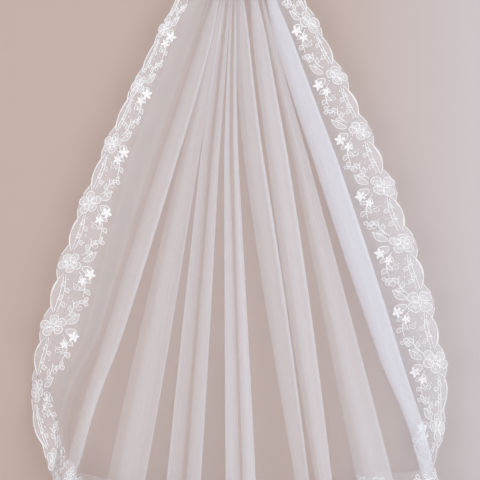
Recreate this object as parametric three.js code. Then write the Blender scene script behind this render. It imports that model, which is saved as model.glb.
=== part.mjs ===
// A bridal veil of sheer tulle with an embroidered lace edging, hanging from its comb.
// Millimetres, +Z up, front towards -Y. The origin is the middle of the comb's spine.
import * as THREE from 'three';

// Flat cut: one panel, gathered along its top edge, with rounded lower corners and a lace edging that is
// joined near the lower corners
const CUT = { length: 1040, cornerRadius: 200, edging: 60 };
const EDGING_JOINS = { left: 260, right: 200 };
const WALL = 1;
const SEAM = 0.5;

// Comb that the gathered edge is sewn to
const COMB = { width: 80, spine: 6, thickness: 3, teeth: 20, toothWidth: 1.6, toothLength: 40 };

// Fan of the hanging cloth: half its width grows with the drop below the comb, then pulls in
const FAN = { gatheredHalf: 34, flare: 0.52, pullIn: 112, evenDrop: 240, highDrop: 416, lowDrop: 824 };

// Pleats from left to right, each a stretch where the cloth lies three deep. At the high and the low
// drop, its left and right ends are shares of the half width and its depth is in mm. Its front fold is
// at the right end where turn is 1, and at the left end where turn is -1. Fold 0 is a bend that doesn't
// double back.
const pair = (high, low) => ({ high, low });
const PLEATS = [
  { left: pair(-0.8, -0.83), right: pair(-0.65, -0.79), depth: pair(20, 14), turn: 1, fold: 0 },
  { left: pair(-0.58, -0.755), right: pair(-0.45, -0.67), depth: pair(26, 44), turn: 1, fold: 1 },
  { left: pair(-0.435, -0.563), right: pair(-0.297, -0.388), depth: pair(30, 52), turn: 1, fold: 1 },
  { left: pair(-0.285, -0.315), right: pair(-0.23, -0.25), depth: pair(26, 46), turn: -1, fold: 1 },
  { left: pair(-0.205, -0.232), right: pair(-0.152, -0.165), depth: pair(26, 46), turn: 1, fold: 1 },
  { left: pair(-0.115, -0.072), right: pair(-0.075, -0.012), depth: pair(30, 54), turn: -1, fold: 1 },
  { left: pair(-0.05, 0), right: pair(-0.012, 0.056), depth: pair(30, 54), turn: 1, fold: 1 },
  { left: pair(0.03, 0.199), right: pair(0.17, 0.285), depth: pair(24, 36), turn: 1, fold: 1 },
  { left: pair(0.2, 0.3), right: pair(0.348, 0.398), depth: pair(30, 50), turn: 1, fold: 1 },
  { left: pair(0.385, 0.485), right: pair(0.493, 0.641), depth: pair(27, 46), turn: 1, fold: 1 },
  { left: pair(0.53, 0.75), right: pair(0.7, 0.84), depth: pair(26, 38), turn: 1, fold: 1 },
];
const EDGE_DEPTH = { left: pair(16, 22), right: pair(17, 28) };
const FLAT = pair(0, 0);

// A pleat's section: how far apart its turning points lie and how far it doubles back, in widths, and
// the drops where it starts to double back and is full
const PLEAT = { neck: 0.3, doubling: 0.573, growth: 1.3, opens: 160, full: 400 };

// Gathers below the comb: waves that swell under it and run out into the pleats
const GATHERS = { count: 14, atComb: 0.45, swell: 1.6, swellDrop: 130, goneDrop: 420 };

// Lower corners where the edging turns away from the front, clear of its seam: how far down, along and
// round, and how far the cloth there is pushed outwards
const TUCKS = {
  clear: 10,
  left: { at: 870, reach: 120, turn: 0.9, push: 24 },
  right: { at: 905, reach: 100, turn: 0.55, push: 8 },
};

// Lace: bloom repeats with a scalloped outer edge, and relief raised on the front
const LACE = { sideRepeats: 11, hemRepeats: 13, steps: 4, scallop: 9, minorScallop: 5, plainTop: 150 };
const RELIEF = { bloom: 1.4, bloomRadius: 17, bloomInset: 17, leaf: 0.8, leafRadius: 13, cord: 0.5 };

// Star florets sewn near the edging's inner side
const FLORET = {
  petals: 5, tip: 10.5, notch: 4.2, height: 3.6, thickness: 0.9, seat: 0.7,
  step: 1, beyond: 0.14,
  leftBlooms: [2, 3, 4, 5, 6, 7, 8, 9],
  rightBlooms: [2, 3, 4, 5, 6, 7, 8, 9],
};

// Steps of the grids, with the columns of a pleat and of the plain cloth beside it as shares of the way
const GRID = { rows: 18, topCrowding: 1.1, clearOfSeam: 3, laceStep: 14 };
const PLEAT_COLUMNS = [0, 0.13, 0.263, 0.42, 0.58, 0.737, 0.87];
const PLAIN_COLUMNS = [0, 0.33, 0.67];

const COLOURS = { tulle: 0xe9eaf0, lace: 0xf6f5f7, floret: 0xffffff, comb: 0xe8e6e2 };

const TAU = 2 * Math.PI;
const CLOTH_BACK = -(COMB.thickness / 2 + SEAM + WALL / 2);
const CLOTH_TOP = COMB.spine / 2 - WALL / 2;
const SIDE_LENGTH = CUT.length - CUT.cornerRadius;
const mix = THREE.MathUtils.lerp;
const rise = (from, to, x) => THREE.MathUtils.smoothstep(x, from, to);

function material(name, colour, roughness) {
  return new THREE.MeshStandardMaterial({ name, color: colour, roughness, metalness: 0 });
}

// The two turning points of a pleat, the first with the cloth doubling back towards the second
function pleatStations({ left, right, depth, turn, fold }) {
  const neck = mix(1, PLEAT.neck, fold);
  const at = (level, side) => mix(left[level], right[level], (1 + side * neck) / 2);
  const shareOf = (side) => pair(at('high', side), at('low', side));
  const doubled = (level) => fold * PLEAT.doubling * (right[level] - left[level]);
  const first = { share: shareOf(-1), doubling: pair(doubled('high'), doubled('low')) };
  const second = { share: shareOf(1), doubling: FLAT };
  const [front, back] = turn > 0 ? [first, second] : [second, first];
  front.depth = depth;
  back.depth = FLAT;
  return [first, second];
}

// Stations across the cloth: the left edge, then each pleat's turning points, then the right edge
function makeStations() {
  const leftEdge = { share: pair(-1, -1), depth: EDGE_DEPTH.left, doubling: FLAT };
  const rightEdge = { share: pair(1, 1), depth: EDGE_DEPTH.right, doubling: FLAT };
  return [leftEdge, ...PLEATS.flatMap(pleatStations), rightEdge];
}

function halfWidth(drop) {
  return FAN.gatheredHalf + FAN.flare * drop - FAN.pullIn * (drop / FAN.lowDrop) ** 3;
}

// How far a drop is from the high one to the low one
function lowness(drop) {
  return (drop - FAN.highDrop) / (FAN.lowDrop - FAN.highDrop);
}

// A station's own line: shares of the half width down to the high drop, then straight on
function stationLine({ share }, drop) {
  if (drop < FAN.highDrop || Math.abs(share.low) === 1) {
    return halfWidth(drop) * mix(share.high, share.low, lowness(drop));
  }
  return mix(share.high * halfWidth(FAN.highDrop), share.low * halfWidth(FAN.lowDrop), lowness(drop));
}

// Where a station lies: evenly gathered at the comb, then on its own line
function stationPlace(station, drop) {
  const even = (station.even ?? 0) * halfWidth(drop);
  return mix(even, stationLine(station, drop), rise(0, FAN.evenDrop, drop));
}

// How far a station stands out to the front: growing from the comb to the high drop, then to the low
function stationDepth({ depth }, drop) {
  const growth = THREE.MathUtils.clamp(drop / FAN.highDrop, 0, 1) ** PLEAT.growth;
  return growth * mix(depth.high, depth.low, Math.max(lowness(drop), 0));
}

// The cloth between two neighbouring stations, part of the way p from one to the other
function foldPoint(from, to, p, drop) {
  const start = stationPlace(from, drop);
  const span = stationPlace(to, drop) - start;
  const doubling = Math.max(mix(from.doubling.high, from.doubling.low, lowness(drop)), 0);
  const back = halfWidth(drop) * doubling * rise(PLEAT.opens, PLEAT.full, drop);
  const depth = mix(stationDepth(from, drop), stationDepth(to, drop), (1 - Math.cos(Math.PI * p)) / 2);
  return new THREE.Vector2(start + span * p + back * Math.sin(TAU * p), CLOTH_BACK - depth);
}

// Where each station lies on the flat cloth: the length of the section at the low drop
function layOutFlat(stations) {
  const steps = 40;
  stations[0].flat = 0;
  for (let index = 1; index < stations.length; index += 1) {
    const [from, to] = [stations[index - 1], stations[index]];
    let length = 0;
    for (let step = 1; step <= steps; step += 1) {
      const here = foldPoint(from, to, step / steps, FAN.lowDrop);
      length += here.distanceTo(foldPoint(from, to, (step - 1) / steps, FAN.lowDrop));
    }
    to.flat = from.flat + length;
  }
  const width = stations.at(-1).flat;
  for (const station of stations) station.even = 2 * station.flat / width - 1;
  return width;
}

const stations = makeStations();
const cutWidth = layOutFlat(stations);

// How far below the comb a point of the flat cloth hangs, along its slanting line of the fan
function dropAt(across, down) {
  const meanSlope = FAN.flare - FAN.pullIn * down * down / FAN.lowDrop ** 3;
  return down / Math.hypot(1, (2 * across / cutWidth - 1) * meanSlope);
}

function gatherDepth(drop) {
  const swell = mix(GATHERS.atComb, GATHERS.swell, rise(0, GATHERS.swellDrop, drop));
  return swell * (1 - rise(GATHERS.swellDrop, GATHERS.goneDrop, drop));
}

// Turns the edging back at a lower corner and pushes the cloth there outwards
function tuckCorner(point, inset, down, tuck, side) {
  const strength = 1 - rise(0, tuck.reach, Math.abs(down - tuck.at));
  const arm = Math.max(CUT.edging - TUCKS.clear - inset, 0);
  const turn = tuck.turn * strength;
  point.x -= side * arm * (1 - Math.cos(turn));
  point.y += arm * Math.sin(turn);
  point.x += side * tuck.push * strength * (1 - rise(CUT.edging, CUT.cornerRadius, inset));
}

// The hanging cloth's middle surface, from a place on the flat cut
function clothPoint(across, down) {
  const last = stations.length - 2;
  const found = stations.findIndex((station) => station.flat > across) - 1;
  const index = found < -1 ? last : Math.max(found, 0);
  const [from, to] = [stations[index], stations[index + 1]];
  const drop = dropAt(across, down);
  const section = foldPoint(from, to, (across - from.flat) / (to.flat - from.flat), drop);
  const gather = gatherDepth(drop) * (1 - Math.cos(TAU * GATHERS.count * across / cutWidth));
  const point = new THREE.Vector3(section.x, section.y - gather, CLOTH_TOP - drop);
  tuckCorner(point, across, down, TUCKS.left, -1);
  tuckCorner(point, cutWidth - across, down, TUCKS.right, 1);
  return point;
}

// The cloth's direction towards the front
function clothNormal(across, down) {
  const step = 0.5;
  const right = clothPoint(across + step, down).sub(clothPoint(across - step, down));
  const below = clothPoint(across, down + step).sub(clothPoint(across, down - step));
  return below.cross(right).normalize();
}

// The cloth's middle surface and front direction at a place on the flat cut
function clothFrame(across, down) {
  return { middle: clothPoint(across, down), normal: clothNormal(across, down) };
}

// Halfway between the way into a point and the way out of it
function wayThrough(before, here, after) {
  const way = new THREE.Vector3();
  if (before) way.add(here.clone().sub(before).normalize());
  if (after) way.add(after.clone().sub(here).normalize());
  return way;
}

// A wall's front direction at one place of its grid
function wallNormal(grid, row, column) {
  const at = (r, c) => grid[r]?.[c]?.middle;
  const here = at(row, column);
  const below = wayThrough(at(row - 1, column), here, at(row + 1, column));
  return below.cross(wayThrough(at(row, column - 1), here, at(row, column + 1))).normalize();
}

// A closed wall about a grid of middle points, its front raised by each point's relief
function wallGeometry(grid) {
  const [rows, columns] = [grid.length, grid[0].length];
  const [fronts, backs] = [[], []];
  grid.forEach((line, row) => line.forEach(({ middle, relief = 0 }, column) => {
    const normal = wallNormal(grid, row, column);
    fronts.push(middle.clone().addScaledVector(normal, WALL / 2 + relief));
    backs.push(middle.clone().addScaledVector(normal, -WALL / 2));
  }));
  const geometry = new THREE.BufferGeometry().setFromPoints([...fronts, ...backs]);
  geometry.setIndex(wallFaces(rows, columns));
  geometry.computeVertexNormals();
  return geometry;
}

// Faces of a closed wall whose back points follow its front points
function wallFaces(rows, columns) {
  const back = rows * columns;
  const at = (row, column) => row * columns + column;
  const faces = [];
  const quad = (a, b, c, d) => faces.push(a, b, c, a, c, d);
  for (let row = 0; row < rows - 1; row += 1) {
    for (let column = 0; column < columns - 1; column += 1) {
      const [a, b] = [at(row, column), at(row + 1, column)];
      quad(a, b, b + 1, a + 1);
      quad(a + back, a + 1 + back, b + 1 + back, b + back);
    }
  }
  const rim = rimOf(rows, columns, at);
  rim.forEach((here, index) => {
    const next = rim[(index + 1) % rim.length];
    quad(here, next, next + back, here + back);
  });
  return faces;
}

// The grid's outer points in order: along the first row, down, back along the last row and up
function rimOf(rows, columns, at) {
  const rim = [];
  for (let column = 0; column < columns - 1; column += 1) rim.push(at(0, column));
  for (let row = 0; row < rows - 1; row += 1) rim.push(at(row, columns - 1));
  for (let column = columns - 1; column > 0; column -= 1) rim.push(at(rows - 1, column));
  for (let row = rows - 1; row > 0; row -= 1) rim.push(at(row, 0));
  return rim;
}

// Columns of the panel between its side seams: more to each pleat than to the plain cloth between
function panelColumns() {
  const ends = [CUT.edging, cutWidth - CUT.edging];
  const columns = [];
  for (let index = 0; index < stations.length - 1; index += 1) {
    const [from, to] = [stations[index], stations[index + 1]];
    const shares = from.doubling.low > 0 ? PLEAT_COLUMNS : PLAIN_COLUMNS;
    columns.push(...shares.map((share) => mix(from.flat, to.flat, share)));
  }
  const [first, last] = [ends[0] + GRID.clearOfSeam, ends[1] - GRID.clearOfSeam];
  return [ends[0], ...columns.filter((across) => across > first && across < last), ends[1]];
}

// Seam between panel and edging down one side: places on the flat cut, with the way out to the edge
function sideSeam(side) {
  const across = side < 0 ? CUT.edging : cutWidth - CUT.edging;
  const rows = Array.from({ length: GRID.rows + 1 }, (_, row) => SIDE_LENGTH * rowShare(row));
  return rows.map((down) => ({ across, down, outAcross: side, outDown: 0 }));
}

// A place on the same seam round the lower corners and along the hem between them
function lowerPlace(across) {
  const radius = CUT.cornerRadius - CUT.edging;
  const side = across < cutWidth / 2 ? -1 : 1;
  const inset = Math.min(across, cutWidth - across);
  const outAcross = side * Math.max(CUT.cornerRadius - inset, 0) / radius;
  const outDown = Math.sqrt(1 - outAcross * outAcross);
  return { across, down: SIDE_LENGTH + radius * outDown, outAcross, outDown };
}

function rowShare(row) {
  return (row / GRID.rows) ** GRID.topCrowding;
}

// Half of the seam's gap on the flat cut: wider where the cloth is drawn together in gathers
function seamHalf(across, down, place) {
  const step = 0.5;
  const outer = clothPoint(across + step * place.outAcross, down + step * place.outDown);
  const inner = clothPoint(across - step * place.outAcross, down - step * place.outDown);
  return SEAM / 2 * 2 * step / outer.distanceTo(inner);
}

// Tulle panel inside the edging's seam
function makeTullePanel(lower) {
  const grid = [];
  for (let row = 0; row <= GRID.rows; row += 1) {
    grid.push(lower.map((place) => {
      const down = rowShare(row) * place.down;
      const half = seamHalf(place.across, down, place);
      const inner = down - half * rowShare(row) * place.outDown;
      return { middle: clothPoint(place.across - half * place.outAcross, inner) };
    }));
  }
  return new THREE.Mesh(wallGeometry(grid), material('tulle', COLOURS.tulle, 0.7));
}

// Distance of each place from the first, measured along the middle of the edging
function measureAlong(seam) {
  const middle = (place) => new THREE.Vector2(
    place.across + place.outAcross * CUT.edging / 2,
    place.down + place.outDown * CUT.edging / 2,
  );
  const distances = [0];
  for (let index = 1; index < seam.length; index += 1) {
    distances.push(distances[index - 1] + middle(seam[index]).distanceTo(middle(seam[index - 1])));
  }
  return distances;
}

const lobe = (distance, reach) => Math.max(0, 1 - (distance / reach) ** 2);

// How far the outer edge bulges: a large scallop at each bloom and a small one between
function scallopAt(phase, repeat) {
  const toBloom = Math.abs(phase - Math.round(phase)) * repeat;
  const toLeaf = repeat / 2 - toBloom;
  const large = LACE.scallop * lobe(toBloom, repeat * 0.3);
  return Math.max(large, LACE.minorScallop * lobe(toLeaf, repeat * 0.22));
}

// How far the front is raised: a bloom and a leaf in each repeat, and a cord along the outer edge
function reliefAt(phase, repeat, inset) {
  const toBloom = Math.abs(phase - Math.round(phase)) * repeat;
  const bloomAway = Math.hypot(toBloom, inset - RELIEF.bloomInset);
  const leafAway = Math.hypot((repeat / 2 - toBloom) / 2, inset - RELIEF.bloomInset);
  const bloom = RELIEF.bloom * lobe(bloomAway, RELIEF.bloomRadius);
  const leaf = RELIEF.leaf * lobe(leafAway, RELIEF.leafRadius);
  return Math.max(bloom, leaf, inset <= 0 ? RELIEF.cord : 0);
}

// The edging's frames at each place of its seam, in steps from the seam out to the edge
function edgingFrames(seam) {
  return seam.map((place) => {
    const half = seamHalf(place.across, place.down, place);
    return Array.from({ length: LACE.steps + 1 }, (_, step) => {
      const out = mix(half, CUT.edging, step / LACE.steps);
      return clothFrame(place.across + place.outAcross * out, place.down + place.outDown * out);
    });
  });
}

// A frame of the edging part of the way between two places of its seam
function frameBetween(frames, position, step) {
  const index = Math.min(Math.floor(position), frames.length - 2);
  const [here, next] = [frames[index][step], frames[index + 1][step]];
  const part = position - index;
  const normal = here.normal.clone().lerp(next.normal, part).normalize();
  return { middle: here.middle.clone().lerp(next.middle, part), normal };
}

// Positions along a stretch, about evenly spaced: the number of a place and the share of the way on
function finePositions(along) {
  const positions = [];
  for (let index = 0; index < along.length - 1; index += 1) {
    const parts = Math.ceil((along[index + 1] - along[index]) / GRID.laceStep);
    for (let part = 0; part < parts; part += 1) positions.push(index + part / parts);
  }
  return [...positions, along.length - 1];
}

// One stretch of the edging, from its scalloped edge in to the seam
function makeLace({ frames, along, repeats, plainTop }) {
  const repeat = along.at(-1) / repeats;
  return finePositions(along).map((position) => {
    const index = Math.min(Math.floor(position), along.length - 2);
    const distance = mix(along[index], along[index + 1], position - index);
    const strength = plainTop ? rise(0, plainTop, distance) : 1;
    return laceLine(frames, position, distance / repeat, repeat, strength);
  });
}

// A line of the edging across its width
function laceLine(frames, position, phase, repeat, strength) {
  const line = [];
  for (let step = LACE.steps; step >= 0; step -= 1) {
    const { middle } = frameBetween(frames, position, step);
    const atEdge = step === LACE.steps;
    if (atEdge) {
      const outward = middle.clone().sub(frameBetween(frames, position, step - 1).middle).normalize();
      middle.addScaledVector(outward, strength * scallopAt(phase, repeat));
    }
    const inset = atEdge ? 0 : CUT.edging * (1 - step / LACE.steps);
    line.push({ middle, relief: strength * reliefAt(phase, repeat, inset) });
  }
  return line;
}

function laceMesh(grid) {
  return new THREE.Mesh(wallGeometry(grid), material('lace', COLOURS.lace, 0.6));
}

// Star floret: a shallow cup of petals on a small seat, facing +Z
function floretGeometry() {
  const spokes = 2 * FLORET.petals;
  const points = [new THREE.Vector3(0, 0, FLORET.thickness), new THREE.Vector3(0, 0, 0)];
  const rings = [{ share: 0.5, lift: 0.35 }, { share: 1, lift: 1 }];
  for (const side of [FLORET.thickness, 0]) {
    for (const ring of rings) {
      for (let spoke = 0; spoke < spokes; spoke += 1) {
        const radius = ring.share * (spoke % 2 ? FLORET.notch : FLORET.tip);
        const lift = ring.lift * (FLORET.height - FLORET.thickness) * radius / FLORET.tip;
        const angle = spoke / spokes * TAU;
        points.push(new THREE.Vector3(radius * Math.cos(angle), radius * Math.sin(angle), lift + side));
      }
    }
  }
  return floretFaces(points, spokes);
}

function floretFaces(points, spokes) {
  const [topInner, topOuter, lowInner, lowOuter] = [0, 1, 2, 3].map((ring) => 2 + ring * spokes);
  const faces = [];
  const quad = (a, b, c, d) => faces.push(a, b, c, a, c, d);
  for (let here = 0; here < spokes; here += 1) {
    const next = (here + 1) % spokes;
    faces.push(0, topInner + here, topInner + next, 1, lowInner + next, lowInner + here);
    quad(topInner + here, topOuter + here, topOuter + next, topInner + next);
    quad(lowInner + next, lowOuter + next, lowOuter + here, lowInner + here);
    quad(topOuter + here, lowOuter + here, lowOuter + next, topOuter + next);
  }
  const geometry = new THREE.BufferGeometry().setFromPoints(points);
  geometry.setIndex(faces);
  geometry.computeVertexNormals();
  return geometry;
}

// Seats a floret on the edging's front
function makeFloret({ middle, normal }) {
  const floret = new THREE.Mesh(floretGeometry(), material('floret', COLOURS.floret, 0.5));
  floret.position.copy(middle).addScaledVector(normal, WALL / 2 + FLORET.seat);
  floret.quaternion.setFromUnitVectors(new THREE.Vector3(0, 0, 1), normal);
  return floret;
}

// Florets of a stretch at the given distances along it, near the edging's inner side
function makeFlorets({ frames, along }, distances) {
  return distances.map((target) => {
    const index = along.findIndex((distance) => distance > target) - 1;
    const part = (target - along[index]) / (along[index + 1] - along[index]);
    return makeFloret(frameBetween(frames, index + part, FLORET.step));
  });
}

// Down a side, one floret beyond each of the named blooms
function bloomDistances({ along, repeats }, blooms) {
  return blooms.map((bloom) => (bloom + FLORET.beyond) * along.at(-1) / repeats);
}

// Along the hem, one floret on the front of each pleat whose front fold is at its right end
function crestDistances({ seam }) {
  const crests = stations.filter(({ depth, doubling }) => depth.low > 0 && doubling.low > 0);
  const onHem = crests.filter(({ flat }) => flat > seam[0].across && flat < seam.at(-1).across);
  return onHem.map(({ flat }) => flat - seam[0].across);
}

// Comb: a spine with a row of teeth
function makeComb() {
  const outline = new THREE.Shape();
  const half = COMB.width / 2;
  const pitch = (COMB.width - COMB.toothWidth) / (COMB.teeth - 1);
  outline.moveTo(-half, COMB.spine / 2);
  for (let tooth = 0; tooth < COMB.teeth; tooth += 1) {
    const left = -half + tooth * pitch;
    outline.lineTo(left, tooth ? -COMB.spine / 2 : -COMB.spine / 2 - COMB.toothLength);
    if (tooth) outline.lineTo(left, -COMB.spine / 2 - COMB.toothLength);
    outline.lineTo(left + COMB.toothWidth, -COMB.spine / 2 - COMB.toothLength);
    if (tooth < COMB.teeth - 1) outline.lineTo(left + COMB.toothWidth, -COMB.spine / 2);
  }
  outline.lineTo(half, COMB.spine / 2);
  const geometry = new THREE.ExtrudeGeometry(outline, { depth: COMB.thickness, bevelEnabled: false });
  geometry.translate(0, 0, -COMB.thickness / 2);
  geometry.rotateX(Math.PI / 2);
  return new THREE.Mesh(geometry, material('comb', COLOURS.comb, 0.4));
}

function add(group, mesh, name) {
  mesh.name = name;
  group.add(mesh);
}

function addFlorets(group, florets, stretch) {
  florets.forEach((floret, index) => add(group, floret, `floret_${stretch}_${index + 1}`));
}

// A stretch of edging with what its lace and florets share
function makeStretch(seam, repeats, plainTop) {
  return { seam, frames: edgingFrames(seam), along: measureAlong(seam), repeats, plainTop };
}

// The hem's part of the lower seam, kept clear of the corner stretches at its ends
function hemSeam(lower, first, last) {
  const seam = lower.slice(first, last + 1);
  seam[0] = { ...seam[0], across: seam[0].across + SEAM };
  seam.push({ ...seam.pop(), across: lower[last].across - SEAM });
  return seam;
}

const columns = panelColumns();
const lower = columns.map(lowerPlace);
const hemFirst = columns.findIndex((across) => across >= EDGING_JOINS.left);
const hemLast = columns.findLastIndex((across) => across <= cutWidth - EDGING_JOINS.right);
const leftSeam = [...sideSeam(-1), ...lower.slice(1, hemFirst + 1)];
const rightSeam = [...sideSeam(1), ...lower.slice(hemLast, -1).reverse()];
const left = makeStretch(leftSeam, LACE.sideRepeats, LACE.plainTop);
const right = makeStretch(rightSeam, LACE.sideRepeats, LACE.plainTop);
const hem = makeStretch(hemSeam(lower, hemFirst, hemLast), LACE.hemRepeats, 0);

const veil = new THREE.Group();
add(veil, makeTullePanel(lower), 'tulle_panel');
add(veil, laceMesh(makeLace(left)), 'lace_left');
add(veil, laceMesh(makeLace(hem)), 'lace_hem');
add(veil, laceMesh(makeLace(right).map((line) => line.reverse())), 'lace_right');
addFlorets(veil, makeFlorets(left, bloomDistances(left, FLORET.leftBlooms)), 'left');
addFlorets(veil, makeFlorets(right, bloomDistances(right, FLORET.rightBlooms)), 'right');
addFlorets(veil, makeFlorets(hem, crestDistances(hem)), 'hem');
add(veil, makeComb(), 'comb');

export default veil;
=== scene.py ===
import math
import random

import bpy
import numpy as np
from mathutils import Matrix, Vector


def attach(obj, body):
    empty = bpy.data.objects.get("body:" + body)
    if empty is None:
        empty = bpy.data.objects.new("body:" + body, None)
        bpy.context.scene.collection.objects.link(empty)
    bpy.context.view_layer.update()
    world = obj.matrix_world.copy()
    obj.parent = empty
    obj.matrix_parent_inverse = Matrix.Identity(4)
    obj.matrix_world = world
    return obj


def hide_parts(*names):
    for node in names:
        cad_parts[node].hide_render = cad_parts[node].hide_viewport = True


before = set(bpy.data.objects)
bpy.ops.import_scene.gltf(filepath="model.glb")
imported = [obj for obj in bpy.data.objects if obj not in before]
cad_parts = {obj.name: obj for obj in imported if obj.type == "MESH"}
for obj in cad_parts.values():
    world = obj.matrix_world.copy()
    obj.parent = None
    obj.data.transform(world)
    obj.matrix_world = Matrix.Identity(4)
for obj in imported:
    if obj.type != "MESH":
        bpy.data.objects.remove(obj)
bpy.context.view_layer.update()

MM = 0.001
TAU = 2 * math.pi

# Flat cut in mm: one panel with rounded lower corners, and the edging's joins in from each side edge
LENGTH, CORNER, EDGING = 1040, 200, 60
JOIN_LEFT, JOIN_RIGHT = 279, 214
SIDE = LENGTH - CORNER
SEAM_RADIUS = CORNER - EDGING
CLOTH_BACK, CLOTH_TOP = -2.5, 2.5

# Fan of the hanging cloth
GATHERED_HALF, FLARE, PULL_IN = 34, 0.52, 112
EVEN_DROP, HIGH_DROP, LOW_DROP = 150, 416, 824

# Pleats from left to right: left and right end as shares of the half width and depth in mm, each at
# the high and the low drop, then the turn (1 has its front fold at the right), the fold (0 is a bend)
# and how closely the net lies in it
PLEATS = [
    (-0.8, -0.83, -0.65, -0.79, 20, 14, 1, 0, 0),
    (-0.58, -0.755, -0.45, -0.67, 26, 44, 1, 1, 0.8),
    (-0.435, -0.563, -0.297, -0.388, 30, 52, 1, 1, 0.8),
    (-0.285, -0.315, -0.23, -0.25, 26, 46, -1, 1, 0.85),
    (-0.205, -0.232, -0.152, -0.165, 26, 46, 1, 1, 1.0),
    (-0.115, -0.072, -0.075, -0.012, 30, 54, -1, 1, 1.2),
    (-0.05, 0, -0.012, 0.056, 30, 54, 1, 1, 1.3),
    (0.03, 0.199, 0.17, 0.285, 24, 36, 1, 1, 0.85),
    (0.2, 0.3, 0.348, 0.398, 30, 50, 1, 1, 1.15),
    (0.385, 0.485, 0.493, 0.641, 27, 46, 1, 1, 0.9),
    (0.53, 0.75, 0.7, 0.84, 26, 38, 1, 1, 1.35),
]
NECK, DOUBLING, GROWTH, OPENS, FULL = 0.3, 0.573, 0.8, 20, 220
PLEAT_TURNS = (0.263, 0.737)
LEFT_EDGE, RIGHT_EDGE = (-1, -1, 16, 22, 0, 0), (1, 1, 17, 28, 0, 0)

# Gathers below the comb, and the lower corners where the edging turns away
GATHERS, GATHER_AT_COMB, GATHER_SWELL, SWELL_DROP, GONE_DROP = 60, 0.4, 9, 45, 190
TUCK_CLEAR = 10
TUCKS = {-1: (870, 120, 0.9, 24), 1: (905, 100, 0.55, 8)}

# Lace: bloom repeats on each stretch, scallops of the outer edge with their half widths as shares of a
# repeat, plain length under the comb, the share of it that has no motifs, and the sides' blooms with florets
SIDE_REPEATS, HEM_REPEATS = 11, 13
SCALLOP, MINOR_SCALLOP, SCALLOP_SHARE, MINOR_SHARE = 9, 5, 0.3, 0.22
PLAIN_TOP, BARE_TOP = 150, 0.3
SIDE_FLORETS = (2, 3, 4, 5, 6, 7, 8, 9)
FLORET_BEYOND, FLORET_INSET = 0.14, 45


def make_stations():
    """Rows of share high and low, depth high and low, doubling high and low."""
    rows = [LEFT_EDGE]
    for left_high, left_low, right_high, right_low, high, low, turn, fold, _ in PLEATS:
        neck = 1 + (NECK - 1) * fold
        doubled = [fold * DOUBLING * (right_high - left_high), fold * DOUBLING * (right_low - left_low)]
        for side in (-1, 1):
            part = (1 + side * neck) / 2
            shares = [left_high + (right_high - left_high) * part, left_low + (right_low - left_low) * part]
            depths = [high, low] if side == -turn else [0, 0]
            rows.append((*shares, *depths, *(doubled if side < 0 else (0, 0))))
    rows.append(RIGHT_EDGE)
    return np.array(rows, float)


STATIONS = make_stations()


def smooth(low, high, x):
    """An eased step from 0 to 1."""
    part = np.clip((x - low) / (high - low), 0, 1)
    return part * part * (3 - 2 * part)


def half_width(drop):
    """Half the width of the fan at a drop below the comb."""
    return GATHERED_HALF + FLARE * drop - PULL_IN * (drop / LOW_DROP) ** 3


def lowness(drop):
    """How far a drop is from the high one to the low one."""
    return (drop - HIGH_DROP) / (LOW_DROP - HIGH_DROP)


def station_line(station, drop):
    """A station's own line: shares of the half width down to the high drop, then straight on."""
    high, low = STATIONS[station, 0], STATIONS[station, 1]
    shares = half_width(drop) * (high + (low - high) * lowness(drop))
    at_high, at_low = high * half_width(HIGH_DROP), low * half_width(LOW_DROP)
    straight = at_high + (at_low - at_high) * lowness(drop)
    return np.where((drop < HIGH_DROP) | (np.abs(low) == 1), shares, straight)


def section(index, part, drop, even):
    """The cloth part of the way from a station to the next, seen from above."""
    half, low = half_width(drop), lowness(drop)
    growth = np.clip(drop / HIGH_DROP, 0, 1) ** GROWTH
    settled = smooth(0, EVEN_DROP, drop)

    def place(station):
        gathered = even[station] * half
        return gathered + (station_line(station, drop) - gathered) * settled

    def depth(station):
        high, deep = STATIONS[station, 2], STATIONS[station, 3]
        return growth * (high + (deep - high) * np.maximum(low, 0))

    start = place(index)
    span = place(index + 1) - start
    doubling = STATIONS[index, 4] + (STATIONS[index, 5] - STATIONS[index, 4]) * low
    back = half * np.maximum(doubling, 0) * smooth(OPENS, FULL, drop)
    blend = (1 - np.cos(math.pi * part)) / 2
    x = start + span * part + back * np.sin(TAU * part)
    return x, CLOTH_BACK - (depth(index) + (depth(index + 1) - depth(index)) * blend)


def lay_out_flat():
    """Where each station lies on the flat cloth: the length of the section at the low drop."""
    flat = [0.0]
    part = np.linspace(0, 1, 41)
    for index in range(len(STATIONS) - 1):
        x, y = section(np.full(41, index), part, np.full(41, float(LOW_DROP)), np.zeros(len(STATIONS)))
        flat.append(flat[-1] + float(np.hypot(np.diff(x), np.diff(y)).sum()))
    return np.array(flat)


FLAT = lay_out_flat()
WIDTH = float(FLAT[-1])
EVEN = 2 * FLAT / WIDTH - 1


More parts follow.
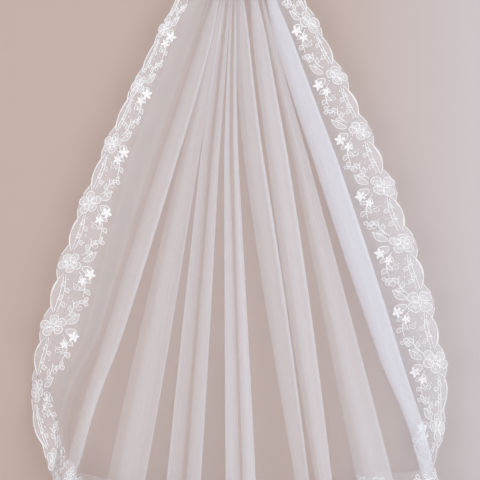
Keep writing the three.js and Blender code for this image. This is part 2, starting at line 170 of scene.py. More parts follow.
def cloth(across, down):
    """The hanging cloth's surface in mm, from places on the flat cut."""
    across, down = np.broadcast_arrays(np.asarray(across, float), np.asarray(down, float))
    index = np.clip(np.searchsorted(FLAT, across, side="right") - 1, 0, len(FLAT) - 2)
    part = (across - FLAT[index]) / (FLAT[index + 1] - FLAT[index])
    slope = FLARE - PULL_IN * down ** 2 / LOW_DROP ** 3
    drop = down / np.hypot(1, (2 * across / WIDTH - 1) * slope)
    x, y = section(index, part, drop, EVEN)
    swell = GATHER_AT_COMB + (GATHER_SWELL - GATHER_AT_COMB) * smooth(0, SWELL_DROP, drop)
    swell = swell * (1 - smooth(SWELL_DROP, GONE_DROP, drop))
    y = y - swell * (1 - np.cos(TAU * GATHERS * across / WIDTH))
    for side, (at, reach, turn, push) in TUCKS.items():
        inset = across if side < 0 else WIDTH - across
        strength = 1 - smooth(0, reach, np.abs(down - at))
        arm = np.maximum(EDGING - TUCK_CLEAR - inset, 0)
        x = x - side * arm * (1 - np.cos(turn * strength))
        y = y + arm * np.sin(turn * strength)
        x = x + side * push * strength * (1 - smooth(EDGING, CORNER, inset))
    return np.stack([x, y, CLOTH_TOP - drop], axis=-1)


def cloth_normal(across, down):
    """The cloth's direction towards the front."""
    step = 0.5
    right = cloth(across + step, down) - cloth(across - step, down)
    below = cloth(across, down + step) - cloth(across, down - step)
    normal = np.cross(below, right)
    return normal / np.linalg.norm(normal, axis=-1, keepdims=True)


BEND = (CORNER - EDGING / 2) * math.pi / 2


class Stretch:
    """A stretch of the edging: flat places from the distance along its middle and the inset."""

    def __init__(self, name, side, start, end, repeats, plain_top):
        self.name, self.side, self.start, self.end = name, side, start, end
        self.repeats, self.plain_top = repeats, plain_top
        self.repeat = (end - start) / repeats

    def place(self, along, inset):
        """Down a side, round its corner and along the hem, measured from the comb."""
        path = np.asarray(along, float) + self.start
        angle = np.clip((path - SIDE) / BEND, 0, 1) * math.pi / 2
        past = np.maximum(path - SIDE - BEND, 0)
        out = EDGING - np.asarray(inset, float)
        across = CORNER + past - (SEAM_RADIUS + out) * np.cos(angle)
        down = np.minimum(path, SIDE) + (SEAM_RADIUS + out) * np.sin(angle)
        return (WIDTH - across if self.side > 0 else across), down

    def scallop(self, along):
        """How far the outer edge bulges: a large scallop at each bloom and a small one between."""
        phase = np.asarray(along, float) / self.repeat
        to_bloom = np.abs(phase - np.round(phase)) * self.repeat
        to_leaf = self.repeat / 2 - to_bloom
        large = SCALLOP * np.maximum(0, 1 - (to_bloom / (self.repeat * SCALLOP_SHARE)) ** 2)
        small = MINOR_SCALLOP * np.maximum(0, 1 - (to_leaf / (self.repeat * MINOR_SHARE)) ** 2)
        strength = smooth(0, self.plain_top, np.asarray(along, float)) if self.plain_top else 1
        return np.maximum(large, small) * strength

    def points(self, along, inset, lift=0.0):
        """Points in metres on the edging, raised off its front."""
        across, down = self.place(along, inset)
        lift = np.asarray(lift, float)[..., None]
        return (cloth(across, down) + cloth_normal(across, down) * lift) * MM


HEM_START = SIDE + BEND - CORNER
STRETCHES = [
    Stretch("left", -1, 0, HEM_START + JOIN_LEFT, SIDE_REPEATS, PLAIN_TOP),
    Stretch("hem", -1, HEM_START + JOIN_LEFT, HEM_START + WIDTH - JOIN_RIGHT, HEM_REPEATS, 0),
    Stretch("right", 1, 0, HEM_START + JOIN_RIGHT, SIDE_REPEATS, PLAIN_TOP),
]


# Meshes from arrays

def new_object(name, points, faces, material, smooth_faces=True):
    """A piece of the veil from arrays, riding on the one body."""
    mesh = bpy.data.meshes.new(name)
    mesh.from_pydata(np.asarray(points).reshape(-1, 3).tolist(), [], np.asarray(faces).tolist())
    if smooth_faces:
        mesh.shade_smooth()
    mesh.materials.append(material)
    obj = bpy.data.objects.new(name, mesh)
    bpy.context.collection.objects.link(obj)
    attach(obj, "root")
    return obj


def grid_faces(rows, columns):
    """Quads of a grid of points, row by row."""
    corner = (np.arange(rows - 1)[:, None] * columns + np.arange(columns - 1)[None, :]).ravel()
    return np.stack([corner, corner + columns, corner + columns + 1, corner + 1], axis=1)


def set_uv(obj, uv):
    """Flat cut coordinates in metres for each corner."""
    layer = obj.data.uv_layers.new(name="flat")
    loops = np.zeros(len(obj.data.loops), int)
    obj.data.loops.foreach_get("vertex_index", loops)
    layer.data.foreach_set("uv", np.asarray(uv, float).reshape(-1, 2)[loops].ravel())


def set_net_density_and_highlight(obj, density_and_highlight):
    """The net's density at each point for the net's material; on the tulle it also carries painted highlight
    lines along the pleats' turns.
    """
    attribute = obj.data.attributes.new("closeness", "FLOAT", "POINT")
    attribute.data.foreach_set("value", np.asarray(density_and_highlight, float).ravel())


def tubes(paths, sides):
    """Points and faces of round cords along paths of (points, normals, radius, closed)."""
    points, faces, base = [], [], 0
    turn = np.arange(sides) / sides * TAU
    for line, normals, radius, closed in paths:
        count = len(line)
        ahead = np.roll(line, -1, 0) - np.roll(line, 1, 0)
        if not closed:
            ahead[0] = line[1] - line[0]
            ahead[-1] = line[-1] - line[-2]
        ahead /= np.maximum(np.linalg.norm(ahead, axis=1, keepdims=True), 1e-12)
        beside = np.cross(ahead, normals)
        beside /= np.maximum(np.linalg.norm(beside, axis=1, keepdims=True), 1e-12)
        above = np.cross(beside, ahead)
        ring = beside[:, None] * np.cos(turn)[None, :, None] + above[:, None] * np.sin(turn)[None, :, None]
        points.append((line[:, None] + ring * radius).reshape(-1, 3))
        last = count if closed else count - 1
        here = np.arange(last)[:, None] * sides + np.arange(sides)[None, :]
        there = (np.arange(last)[:, None] + 1) % count * sides + np.arange(sides)[None, :]
        quads = np.stack([here, np.roll(here, -1, 1), np.roll(there, -1, 1), there], axis=-1)
        faces.append(quads.reshape(-1, 4) + base)
        base += count * sides
    return np.concatenate(points), np.concatenate(faces)


# Materials

def principled(name, colour, roughness, **sockets):
    """A material with its tree and its main shader."""
    material = bpy.data.materials.new(name)
    material.use_nodes = True
    shader = material.node_tree.nodes["Principled BSDF"]
    shader.inputs["Base Color"].default_value = (*colour, 1)
    shader.inputs["Roughness"].default_value = roughness
    for socket, value in sockets.items():
        shader.inputs[socket.replace("_", " ")].default_value = value
    return material, material.node_tree, shader


def add_node(tree, kind, **values):
    node = tree.nodes.new(kind)
    for key, value in values.items():
        if key in node.inputs:
            node.inputs[key].default_value = value
        else:
            setattr(node, key, value)
    return node


def add_math(tree, operation, first, second):
    node = tree.nodes.new("ShaderNodeMath")
    node.operation = operation
    for socket, value in zip(node.inputs, (first, second)):
        if isinstance(value, (int, float)):
            socket.default_value = value
        else:
            tree.links.new(value, socket)
    return node.outputs[0]


def map_range(tree, value, source, target):
    """A value moved from one range to another and kept inside it."""
    node = tree.nodes.new("ShaderNodeMapRange")
    for socket, number in zip(("From Min", "From Max", "To Min", "To Max"), (*source, *target)):
        node.inputs[socket].default_value = number
    tree.links.new(value, node.inputs["Value"])
    return node.outputs["Result"]


def object_noise(tree, scale, detail):
    coordinates = add_node(tree, "ShaderNodeTexCoord")
    noise = add_node(tree, "ShaderNodeTexNoise", Scale=scale, Detail=detail)
    tree.links.new(coordinates.outputs["Object"], noise.inputs["Vector"])
    return noise.outputs["Fac"]


def add_bump(tree, shader, height, strength, distance):
    bump = add_node(tree, "ShaderNodeBump", Strength=strength, Distance=distance)
    tree.links.new(height, bump.inputs["Height"])
    tree.links.new(bump.outputs["Normal"], shader.inputs["Normal"])


def mix_tint(tree, shader, amount, first, second):
    """Base colour between two tints."""
    tint = add_node(tree, "ShaderNodeMix", data_type="RGBA")
    tint.inputs[6].default_value = (*first, 1)
    tint.inputs[7].default_value = (*second, 1)
    tree.links.new(amount, tint.inputs[0])
    tree.links.new(tint.outputs[2], shader.inputs["Base Color"])


def net_threads(tree, cells):
    """1 on the threads of a fine net and 0 in its holes, on the flat cut."""
    uv = add_node(tree, "ShaderNodeUVMap", uv_map="flat")
    voronoi = add_node(tree, "ShaderNodeTexVoronoi", feature="DISTANCE_TO_EDGE", Scale=cells)
    voronoi.inputs["Randomness"].default_value = 0.35
    tree.links.new(uv.outputs["UV"], voronoi.inputs["Vector"])
    return map_range(tree, voronoi.outputs["Distance"], (0.1, 0.2), (1, 0))


def net_material(name, colour, cells, thin, thick):
    """Sheer net: threads and holes, less sheer where its density is higher, which on the tulle includes
    painted highlight lines along the pleats' turns.
    """
    material, tree, shader = principled(name, colour, 0.65, Sheen_Weight=0.35, Sheen_Roughness=0.45)
    cover = map_range(tree, net_threads(tree, cells), (0, 1), (thin, thick))
    density_and_highlight = add_node(tree, "ShaderNodeAttribute", attribute_name="closeness")
    tree.links.new(add_math(tree, "MULTIPLY", cover, density_and_highlight.outputs["Fac"]), shader.inputs["Alpha"])
    return material


def thread_material(name, colour, roughness, twist, strength):
    """Corded thread: fine bumps from its twist."""
    material, tree, shader = principled(name, colour, roughness, Sheen_Weight=0.3, Sheen_Roughness=0.4)
    coordinates = add_node(tree, "ShaderNodeTexCoord")
    wave = add_node(tree, "ShaderNodeTexWave", bands_direction="DIAGONAL", Scale=twist, Distortion=1.5)
    tree.links.new(coordinates.outputs["Object"], wave.inputs["Vector"])
    add_bump(tree, shader, wave.outputs["Fac"], strength, 0.0003)
    return material


def satin_material():
    """Filled embroidery: close stitches that let a little of the ground through."""
    material, tree, shader = principled("satin_stitch", (0.93, 0.93, 0.95), 0.5, Sheen_Weight=0.3)
    stitches = object_noise(tree, 900, 2)
    tree.links.new(map_range(tree, stitches, (0.35, 0.65), (0.14, 0.4)), shader.inputs["Alpha"])
    add_bump(tree, shader, stitches, 0.4, 0.0003)
    return material


def bead_material():
    """Clear-coated glass with a faint change of tint and gloss from bead to bead."""
    material, tree, shader = principled("glass_bead", (0.98, 0.98, 1.0), 0.06, Coat_Weight=1.0)
    shader.inputs["Coat Roughness"].default_value = 0.03
    change = object_noise(tree, 160, 1)
    mix_tint(tree, shader, change, (0.99, 0.98, 0.97), (0.93, 0.96, 1.0))
    tree.links.new(map_range(tree, change, (0, 1), (0.03, 0.16)), shader.inputs["Roughness"])
    return material


def comb_material():
    """Frosted moulded plastic with faint flow marks."""
    material, tree, shader = principled("comb_plastic", (0.88, 0.87, 0.85), 0.35, IOR=1.49)
    shader.inputs["Transmission Weight"].default_value = 0.35
    add_bump(tree, shader, object_noise(tree, 120, 3), 0.15, 0.0004)
    return material


TULLE = net_material("tulle_net", (0.88, 0.92, 1.0), 900, 0.08, 0.38)
GROUND = net_material("lace_ground_net", (0.90, 0.92, 0.98), 700, 0.17, 0.5)
CORD = thread_material("lace_cord", (0.97, 0.98, 1.0), 0.45, 900, 0.5)
SATIN = satin_material()
ORGANZA = thread_material("floret_organza", (0.97, 0.97, 0.98), 0.4, 500, 0.25)
THREAD = thread_material("sewing_thread", (0.93, 0.93, 0.93), 0.5, 1500, 0.4)
BEAD = bead_material()


# Camera straight in front, with the photograph's frame 816 mm across at the veil

FRAME_WIDTH, FRAME_MIDDLE, FOLDS_Y, CAMERA_AWAY, SENSOR = 0.816, -0.552, -0.03, 3.2, 36
camera = bpy.data.objects.new("camera", bpy.data.cameras.new("camera"))
camera.data.sensor_width = SENSOR
camera.data.lens = SENSOR * CAMERA_AWAY / FRAME_WIDTH
camera.location = (0, FOLDS_Y - CAMERA_AWAY, FRAME_MIDDLE)
camera.rotation_euler = (math.pi / 2, 0, 0)
bpy.context.collection.objects.link(camera)
bpy.context.scene.camera = camera


# Tulle panel inside the edging's seam, with columns close together at the pleats' turns

PLEAT_STEPS, PLAIN_STEPS, PANEL_ROWS = 28, 16, 170
PLAIN_CLOSENESS, PLEAT_CLOSENESS, BACK_CLOSENESS = 0.34, 0.8, 0.4
# Painted highlight: extra density of the white net in lines along each pleat's front and back turns, with
# the lines' width along the cloth, then the fade towards the back turn
FRONT_TURN_HIGHLIGHT, BACK_TURN_HIGHLIGHT, TURN_WIDTH, BACK_FADE = 1.6, 0.3, 7.0, 0.3
SIDE_CLOSENESS, SIDE_REACH, PLEAT_SOFT = 0.85, 90, 0.1
STREAKS, STREAK_WIDTHS, TULLE_STREAK, GROUND_STREAK = 14, (9, 90), 0.5, 0.2


def panel_columns():
    """Places across the flat cut, closer together in the pleats."""
    columns = []
    for index in range(len(FLAT) - 1):
        steps = PLEAT_STEPS if STATIONS[index, 5] > 0 else PLAIN_STEPS
        columns.extend(np.linspace(FLAT[index], FLAT[index + 1], steps, endpoint=False))
    inside = [across for across in columns if EDGING + 1 < across < WIDTH - EDGING - 1]
    return np.array([EDGING, *inside, WIDTH - EDGING])


def seam_down(across):
    """How far down the seam lies: round the corners and along the hem."""
    inset = np.minimum(across, WIDTH - across)
    out = np.maximum(CORNER - inset, 0) / SEAM_RADIUS
    return SIDE + SEAM_RADIUS * np.sqrt(np.maximum(1 - out * out, 0))


def closeness(across):
    """The net's density across the cut: open on plain cloth, denser at the sides and in a pleat's front and
    thinning towards its back turn, with painted highlights: a bright line of denser net along each front
    turn and a fainter one along each back turn.
    """
    inset = np.minimum(across, WIDTH - across)
    density_and_highlight = PLAIN_CLOSENESS + SIDE_CLOSENESS * (1 - smooth(EDGING, EDGING + SIDE_REACH, inset))
    for number, pleat in enumerate(PLEATS):
        turn, fold, net = pleat[6:]
        first, last = FLAT[1 + 2 * number], FLAT[2 + 2 * number]
        front, back = PLEAT_TURNS if turn > 0 else PLEAT_TURNS[::-1]
        part = (across - first) / (last - first)
        inside = smooth(-PLEAT_SOFT, PLEAT_SOFT, part) * smooth(-PLEAT_SOFT, PLEAT_SOFT, 1 - part) * fold
        from_back = smooth(0, BACK_FADE, np.abs(part - back))
        faded = net * (BACK_CLOSENESS + (PLEAT_CLOSENESS - BACK_CLOSENESS) * from_back)
        density_and_highlight += (faded - PLAIN_CLOSENESS) * inside
        # Painted highlight: a bright line of denser net along each turn, strongest at the front one
        for turned, highlight in ((front, FRONT_TURN_HIGHLIGHT), (back, BACK_TURN_HIGHLIGHT)):
            density_and_highlight += fold * highlight * np.exp(-((part - turned) * (last - first) / TURN_WIDTH) ** 2)
    return density_and_highlight


def streaks(across, seed):
    """Soft uneven streaks down the cloth, from a few waves of chance width."""
    chance = random.Random(seed)
    total = np.zeros_like(across)
    for _ in range(STREAKS):
        turns = TAU * across / chance.uniform(*STREAK_WIDTHS) + chance.uniform(0, TAU)
        total += chance.uniform(0.3, 1) * np.sin(turns)
    return total / STREAKS


def make_tulle():
    across = panel_columns()
    down = np.linspace(0, 1, PANEL_ROWS)[:, None] * seam_down(across)[None, :]
    wide = np.broadcast_to(across, down.shape)
    obj = new_object("tulle", cloth(wide, down) * MM, grid_faces(*down.shape), TULLE)
    set_uv(obj, np.stack([wide, down], -1) * MM)
    density_and_highlight = closeness(across) + TULLE_STREAK * streaks(across, 7)
    set_net_density_and_highlight(obj, np.broadcast_to(density_and_highlight, down.shape))
    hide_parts("tulle_panel")
    return obj


# Lace edging: net ground, cords, filled petals and beads

GROUND_STEPS, GROUND_STEP, GROUND_FADE = 16, 3.0, 0.3


def make_ground(stretch):
    """The edging's net. Returns it with its length."""
    length = stretch.end - stretch.start
    along = np.linspace(0, length, int(length / GROUND_STEP))
    part = np.linspace(0, 1, GROUND_STEPS)
    outer = -stretch.scallop(along)
    inset = outer[:, None] + (EDGING - outer)[:, None] * part[None, :]
    run = np.broadcast_to(along[:, None], inset.shape)
    points = stretch.points(run, inset)
    faces = grid_faces(*inset.shape)
    if stretch.side > 0:
        faces = faces[:, ::-1]
    obj = new_object(f"lace_{stretch.name}_ground", points, faces, GROUND)
    set_uv(obj, np.stack([run, inset], -1) * MM)
    fade = GROUND_FADE * smooth(EDGING / 2, EDGING, inset)
    set_net_density_and_highlight(obj, 1 + GROUND_STREAK * streaks(run, 11) - fade)
    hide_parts(f"lace_{stretch.name}")
    return obj, length


# Motifs in mm along the edging from a bloom, and in from its edge. A petal's spread is its width times the
# number of petals in the bloom

BLOOM_INSET, BLOOM_HEART, BLOOM_PETAL, PETAL_SPREAD = 8, 3, 16, 82
INNER_PETAL, INNER_SPREAD = 0.58, 42
LEAF_LEAN, LEAF_BOW, LEAF_WIDTH = 0.75, 1.2, 0.5
BUD_PETALS, BUD_LENGTH, BUD_WIDTH = 3, 8, 7


def petal(along, inset, way, length, width):
    """A closed petal that starts at a point and opens the given way."""
    t = np.linspace(0, TAU, 17, endpoint=False)
    forward = length * (1 - np.cos(t)) / 2
    sideways = width / 2 * np.sin(t) * (0.55 + 0.45 * forward / length)
    return np.stack([
        along + forward * math.cos(way) - sideways * math.sin(way),
        inset + forward * math.sin(way) + sideways * math.cos(way),
    ], -1)


def leaf(start, end, bow, width):
    """A closed leaf from one point to another, bowed to one side."""
    start, end = np.array(start, float), np.array(end, float)
    way = (end - start) / np.linalg.norm(end - start)
    side = np.array([-way[1], way[0]])
    t = np.linspace(0, 1, 12)
    spine = start + (end - start) * t[:, None] + side * (bow * np.sin(math.pi * t))[:, None]
    half = side * (width / 2 * np.sin(math.pi * t ** 0.8))[:, None]
    return np.concatenate([spine + half, (spine - half)[-2:0:-1]])


def curl(along, inset, radius, turns, first):
    """An open tendril that winds in to its end."""
    t = np.linspace(0, 1, 20)
    angle = first + turns * TAU * t
    reach = radius * (1 - 0.75 * t)
    return np.stack([along + reach * np.cos(angle), inset + reach * np.sin(angle)], -1)


def stem(start, end, bow):
    """An open curved stem."""
    start, end = np.array(start, float), np.array(end, float)
    way = end - start
    t = np.linspace(0, 1, 12)[:, None]
    return start + way * t + np.array([-way[1], way[0]]) * bow * np.sin(math.pi * t)


def bloom_strokes(chance):
    """A bloom at the edge: uneven petals with double outlines about a curled heart."""
    first, size = chance.uniform(0, TAU), chance.uniform(0.9, 1.1)
    middle, count = BLOOM_INSET + chance.uniform(-1, 3), chance.choice((4, 5, 5))
    strokes = [(curl(0, middle, 3.2, 1.2, first), 0.9, False, False)]
    for number in range(count):
        way = first + (number + chance.uniform(-0.12, 0.12)) * TAU / count
        length = BLOOM_PETAL * size * chance.uniform(0.85, 1.1)
        start = (BLOOM_HEART * math.cos(way), middle + BLOOM_HEART * math.sin(way))
        width, inner = PETAL_SPREAD / count * size, INNER_SPREAD / count * size
        strokes.append((petal(*start, way, length, width), 1.1, True, True))
        strokes.append((petal(*start, way, INNER_PETAL * length, inner), 0.8, True, True))
    return strokes


def sprig(start, end, bow, leaves, size):
    """A curved stem with leaves on alternate sides."""
    line = stem(start, end, bow)
    strokes = [(line, 0.95, False, False)]
    for number in range(leaves):
        here = 2 + number * 8 // leaves
        ahead = line[here + 1] - line[here]
        way = math.atan2(ahead[1], ahead[0]) + (LEAF_LEAN if number % 2 else -LEAF_LEAN)
        tip = line[here] + size * np.array([math.cos(way), math.sin(way)])
        strokes.append((leaf(line[here], tip, LEAF_BOW, LEAF_WIDTH * size), 0.85, True, True))
    return strokes


def bud_strokes(along, inset, first):
    """Small petals about a point."""
    ways = [first + number * TAU / BUD_PETALS for number in range(BUD_PETALS)]
    return [(petal(along, inset, way, BUD_LENGTH, BUD_WIDTH), 0.9, True, True) for way in ways]


def repeat_motif(chance, repeat):
    """Strokes of one repeat: (points, cord radius, closed, filled)."""
    edge = repeat - 19
    sway = chance.uniform(-3, 3)
    strokes = bloom_strokes(chance)
    strokes.append((leaf((19, 5), (edge, 6), -4 + sway / 3, 13), 1.0, True, False))
    strokes += sprig((20, 9), (edge - 4, 10 + sway / 3), 0.06, 4, 11)
    strokes += sprig((12, 27), (56, 44 + sway), 0.12, 4, 13)
    strokes += sprig((edge + 4, 24), (repeat - 46, 30 + sway), -0.2, 3, 12)
    strokes += bud_strokes(64 + sway, 47, chance.uniform(0, TAU))
    strokes += [
        (leaf((-6, 28), (-24, 45 - sway), -3, 11), 1.0, True, True),
        (leaf((4, 30), (21, 50 + sway), 3, 12), 1.0, True, True),
        (curl(40, 31, 6, 1.3, chance.uniform(2.6, 3.6)), 0.75, False, False),
        (curl(repeat - 34, 42, 6, 1.2, chance.uniform(2.6, 3.6)), 0.75, False, False),
    ]
    return strokes


BEAD_PLACES = [
    (0, 15), (34, 24), (42, 27), (50, 8), (64, 10), (12, 38), (-14, 38), (70, 22), (60, 48), (58, 22),
    (8, 24), (-9, 20), (4, 5), (28, 14), (78, 12), (24, 44), (-22, 44),
]


def motif_strokes(stretch):
    """Every stroke of a stretch as (along, inset, radius, closed, filled), clear of the plain top."""
    strokes, beads = [], []
    length = stretch.end - stretch.start
    bare = BARE_TOP * stretch.plain_top
    chance = random.Random(stretch.name)
    for number in range(stretch.repeats + 1):
        bloom = number * stretch.repeat
        for points, radius, closed, filled in repeat_motif(chance, stretch.repeat):
            along = points[:, 0] + bloom
            if along.min() > bare + 1 and along.max() < length - 1:
                strokes.append((along, points[:, 1], radius, closed, filled))
        for ahead, inset in BEAD_PLACES:
            if bare + 2 < bloom + ahead < length - 2:
                beads.append((bloom + ahead, inset))
    return strokes, beads


CORD_LIFT, FILL_LIFT, FILL_CROWN, CORD_SIDES = 0.9, 0.5, 0.6, 5
EDGE_POINTS, EDGE_CLEAR, EDGE_INSET, EDGE_CORD = 34, 0.12, 0.6, 1.0


def make_cords(stretch, strokes):
    """Cords along every stroke, and along the outer edge between the blooms."""
    paths, edges = [], []
    for number in range(stretch.repeats):
        edge = np.linspace(number + EDGE_CLEAR, number + 1 - EDGE_CLEAR, EDGE_POINTS) * stretch.repeat
        edges.append((edge, EDGE_INSET - stretch.scallop(edge), EDGE_CORD, False))
    for along, inset, radius, closed in edges + [stroke[:4] for stroke in strokes]:
        across, down = stretch.place(along, inset)
        line = stretch.points(along, inset, np.full(len(along), CORD_LIFT))
        paths.append((line, cloth_normal(across, down), radius * MM, closed))
    obj = new_object(f"lace_{stretch.name}_cords", *tubes(paths, CORD_SIDES), CORD)


def make_fills(stretch, strokes):
    """Filled petals and leaves: a fan about each closed stroke's middle."""
    points, faces, base = [], [], 0
    for along, inset, _, closed, filled in strokes:
        if closed and filled:
            ring = stretch.points(along, inset, np.full(len(along), FILL_LIFT))
            middle = stretch.points([along.mean()], [inset.mean()], np.array([FILL_LIFT + FILL_CROWN]))
            count = len(ring)
            points.append(np.concatenate([ring, middle]))
            here = np.arange(count)
            faces.append(np.stack([here, (here + 1) % count, np.full(count, count)], 1) + base)
            base += count + 1
    obj = new_object(f"lace_{stretch.name}_fills", np.concatenate(points), np.concatenate(faces), SATIN)


BEAD_RADIUS, BEAD_LIFT, HEART_LIFT = 1.25, 1.2, 1.4


def bead_shape(radius):
    """A small faceted bead."""
    rings, sides = 5, 8
    points = [(0, 0, radius)]
    for ring in range(1, rings):
        polar = math.pi * ring / rings
        for side in range(sides):
            turn = TAU * side / sides
            points.append((
                radius * math.sin(polar) * math.cos(turn),
                radius * math.sin(polar) * math.sin(turn),
                radius * math.cos(polar),
            ))
    points.append((0, 0, -radius))
    last = len(points) - 1
    faces = []
    for side in range(sides):
        after = (side + 1) % sides
        faces.append((0, 1 + side, 1 + after))
        for ring in range(rings - 2):
            upper, lower = 1 + ring * sides, 1 + (ring + 1) * sides
            faces.append((upper + side, lower + side, lower + after))
            faces.append((upper + side, lower + after, upper + after))
        faces.append((last, 1 + (rings - 2) * sides + after, 1 + (rings - 2) * sides + side))
    return np.array(points), np.array(faces)


def make_beads(name, places):
    """Beads at points in metres, joined in one mesh."""
    shape, faces = bead_shape(BEAD_RADIUS * MM)
    points = (shape[None] + np.asarray(places)[:, None]).reshape(-1, 3)
    offsets = np.arange(len(places))[:, None, None] * len(shape)
    obj = new_object(name, points, (faces[None] + offsets).reshape(-1, 3), BEAD, smooth_faces=False)


# Star florets: pairs of organza cups with a bead in each. Each ring has its petals, reach, cup and first
# angle, and the smaller companion lies ahead along the edging, nearer its edge

FLORET_RINGS = [(5, 10.5, 2.4, 0.0), (5, 5.2, 3.2, 0.63)]
PETAL_RINGS, PETAL_STEPS = 6, (-1, -0.5, 0, 0.5, 1)
PETAL_HALF, PETAL_RIB, FLORET_LIFT = 0.24, 0.6, 1.4
COMPANION_AHEAD, COMPANION_INSET, COMPANION_SIZE = 13.5, -9.0, 0.8


def petal_patch(way, reach, cup):
    """A pointed petal with a raised rib and a cupped tip, as rings of points, in mm."""
    points = []
    for ring in range(1, PETAL_RINGS + 1):
        part = ring / PETAL_RINGS
        half = PETAL_HALF * reach * math.sin(math.pi * min(part * 0.94 + 0.06, 1)) ** 0.7
        for step in PETAL_STEPS:
            forward, sideways = reach * part, half * step
            points.append((
                forward * math.cos(way) - sideways * math.sin(way),
                forward * math.sin(way) + sideways * math.cos(way),
                cup * part ** 1.6 + PETAL_RIB * (1 - abs(step)) * part,
            ))
    return points


def floret_shape():
    """A floret facing +Z: a ring of open petals with a smaller, more upright ring inside, in mm."""
    points, faces = [(0, 0, 0)], []
    wide = len(PETAL_STEPS)
    for count, reach, cup, first in FLORET_RINGS:
        for number in range(count):
            base = len(points)
            points += petal_patch(first + TAU * number / count, reach, cup)
            for step in range(wide - 1):
                faces.append((0, base + step, base + step + 1))
                for ring in range(PETAL_RINGS - 1):
                    here = base + ring * wide + step
                    faces.append((here, here + wide, here + wide + 1))
                    faces.append((here, here + wide + 1, here + 1))
    return np.array(points, float), np.array(faces)


def floret_distances(stretch):
    """Distances along a stretch: at the hem in front of each pleat that turns right, else past a bloom."""
    if stretch.name == "hem":
        crests = [FLAT[i] for i in range(len(FLAT)) if STATIONS[i, 3] > 0 and STATIONS[i, 5] > 0]
        first, last = JOIN_LEFT, WIDTH - JOIN_RIGHT
        return [flat - first for flat in crests if first < flat < last]
    return [(bloom + FLORET_BEYOND) * stretch.repeat for bloom in SIDE_FLORETS]


def make_florets(stretch):
    """Each floret with its companion. Returns the places of their beads."""
    shape, shape_faces = floret_shape()
    chance = random.Random(f"florets {stretch.name}")
    points, faces, hearts = [], [], []
    distances = floret_distances(stretch)
    for distance in distances:
        for along, inset, size in (
            (distance, FLORET_INSET, 1.0),
            (distance + COMPANION_AHEAD, FLORET_INSET + COMPANION_INSET, COMPANION_SIZE),
        ):
            across, down = stretch.place(along, inset)
            centre = Vector(stretch.points(along, inset, np.array(FLORET_LIFT)))
            facing = Vector(cloth_normal(across, down)).to_track_quat("Z", "Y").to_matrix()
            spin = Matrix.Rotation(chance.uniform(0, TAU), 3, "Z")
            turn = np.array(facing @ spin)
            points.append((shape * size * MM) @ turn.T + np.array(centre))
            faces.append(shape_faces + len(shape) * (len(points) - 1))
            hearts.append(np.array(centre + facing @ Vector((0, 0, HEART_LIFT * size * MM))))
    obj = new_object(f"florets_{stretch.name}", np.concatenate(points), np.concatenate(faces), ORGANZA)
    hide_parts(*[f"floret_{stretch.name}_{number + 1}" for number in range(len(distances))])
    return hearts


# Thread that sews the gathered edge to the comb's spine, in loops that lean a little

STITCHES, SEWN_HALF, STITCH_LEAN, THREAD_RADIUS = 26, 33.5, 0.7, 0.35
STITCH_MIDDLE, STITCH_DEPTH, STITCH_HEIGHT = -1.3, 2.9, 3.9


def make_sewing():
    turn = np.linspace(0, TAU, 24, endpoint=False)
    outward = np.stack([np.zeros_like(turn), np.cos(turn), np.sin(turn)], -1)
    paths = []
    for x in np.linspace(-SEWN_HALF, SEWN_HALF, STITCHES):
        loop = np.stack([
            x + STITCH_LEAN * np.sin(turn),
            STITCH_MIDDLE + STITCH_DEPTH * np.cos(turn),
            STITCH_HEIGHT * np.sin(turn),
        ], -1)
        paths.append((loop * MM, outward, THREAD_RADIUS * MM, True))
    obj = new_object("comb_sewing", *tubes(paths, 6), THREAD)


# Plain wall close behind and pale floor below, both with painted light that makes them lighter and cooler at
# the right, and soft light with its brighter side at the right

WALL_Y, WALL_TOP, FLOOR_Z, STAGE_HALF, FLOOR_DEPTH = 0.035, 1.5, -1.3, 3.0, 4.0
# Where the painted light on the backdrops goes from the left tint to the lighter, cooler right tint, in
# metres across
PAINTED_LIGHT_FROM, PAINTED_LIGHT_TO = 0.14, 0.4
WORLD_COLOUR, WORLD_STRENGTH = (0.92, 0.88, 0.88, 1), 0.68
# Each light: name, place, target, size, watts and colour
LIGHTS = [
    ("key", (1.3, -2.4, -0.5), (0.1, 0, -0.7), 2.2, 33, (0.85, 0.94, 1.0)),
    ("fill", (-1.8, -2.4, -0.8), (0, 0, -0.75), 2.0, 28, (1.0, 0.98, 0.97)),
    ("behind", (0.6, 2.4, 0.2), (0, 0, -0.5), 2.5, 16, (1.0, 0.98, 0.96)),
]


def plaster(name, colour, painted_lit_tint, clear_from_behind):
    """Matt paint with painted light: its tint goes from a darker, warmer one at the left to a lighter,
    cooler one at the right, where the key light falls.
    """
    material, tree, shader = principled(name, colour, 0.9)
    coordinates = add_node(tree, "ShaderNodeTexCoord")
    split = add_node(tree, "ShaderNodeSeparateXYZ")
    tree.links.new(coordinates.outputs["Object"], split.inputs[0])
    across = map_range(tree, split.outputs["X"], (PAINTED_LIGHT_FROM, PAINTED_LIGHT_TO), (0, 1))
    mix_tint(tree, shader, across, colour, painted_lit_tint)
    add_bump(tree, shader, object_noise(tree, 14, 4), 0.05, 0.002)
    if clear_from_behind:
        geometry = add_node(tree, "ShaderNodeNewGeometry")
        path = add_node(tree, "ShaderNodeLightPath")
        clear = add_math(tree, "MAXIMUM", geometry.outputs["Backfacing"], path.outputs["Is Shadow Ray"])
        tree.links.new(add_math(tree, "SUBTRACT", 1.0, clear), shader.inputs["Alpha"])
    return material


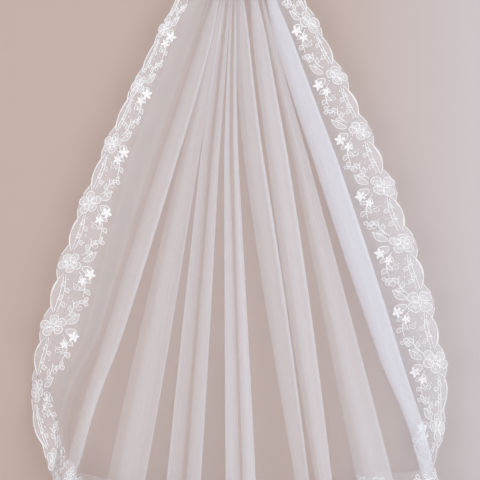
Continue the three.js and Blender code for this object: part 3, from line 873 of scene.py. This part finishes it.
def add_backdrop(name, corners, material):
    mesh = bpy.data.meshes.new(name)
    mesh.from_pydata(corners, [], [(0, 1, 2, 3)])
    mesh.materials.append(material)
    obj = bpy.data.objects.new(name, mesh)
    bpy.context.collection.objects.link(obj)


def make_stage():
    """A wall that is clear from behind, so that the veil's back is lit and seen, and a floor."""
    left, right = -STAGE_HALF, STAGE_HALF
    low, high = FLOOR_Z, WALL_TOP
    wall = [(left, WALL_Y, low), (right, WALL_Y, low), (right, WALL_Y, high), (left, WALL_Y, high)]
    near, far = -FLOOR_DEPTH, FLOOR_DEPTH
    floor = [(left, near, low), (right, near, low), (right, far, low), (left, far, low)]
    # Second tint of each backdrop: painted light, lighter and cooler at the right where the key light falls
    add_backdrop("wall", wall, plaster("wall", (0.535, 0.43, 0.385), (0.59, 0.54, 0.545), True))
    add_backdrop("floor", floor, plaster("floor", (0.70, 0.64, 0.62), (0.70, 0.66, 0.65), False))


def add_light(name, place, target, size, watts, colour):
    light = bpy.data.lights.new(name, "AREA")
    light.size = size
    light.energy = watts
    light.color = colour
    obj = bpy.data.objects.new(name, light)
    obj.location = place
    obj.rotation_euler = (Vector(target) - Vector(place)).to_track_quat("-Z", "Y").to_euler()
    bpy.context.collection.objects.link(obj)


def make_light():
    """Area lights and an even world. Light passes through all the layers of net."""
    for light in LIGHTS:
        add_light(*light)
    world = bpy.data.worlds.new("studio")
    world.use_nodes = True
    background = world.node_tree.nodes["Background"]
    background.inputs["Color"].default_value = WORLD_COLOUR
    background.inputs["Strength"].default_value = WORLD_STRENGTH
    scene = bpy.context.scene
    scene.world = world
    scene.view_settings.view_transform = "Standard"
    scene.cycles.transparent_max_bounces = 64


# The pieces, then the comb's material, the stage and the light

tulle = make_tulle()
for stretch in STRETCHES:
    make_ground(stretch)
    strokes, bead_places = motif_strokes(stretch)
    make_cords(stretch, strokes)
    make_fills(stretch, strokes)
    hearts = make_florets(stretch)
    sewn = [stretch.points(along, inset, np.array(BEAD_LIFT)) for along, inset in bead_places]
    make_beads(f"beads_{stretch.name}", [*sewn, *hearts])
make_sewing()
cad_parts["comb"].data.materials.clear()
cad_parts["comb"].data.materials.append(comb_material())
make_stage()
make_light()
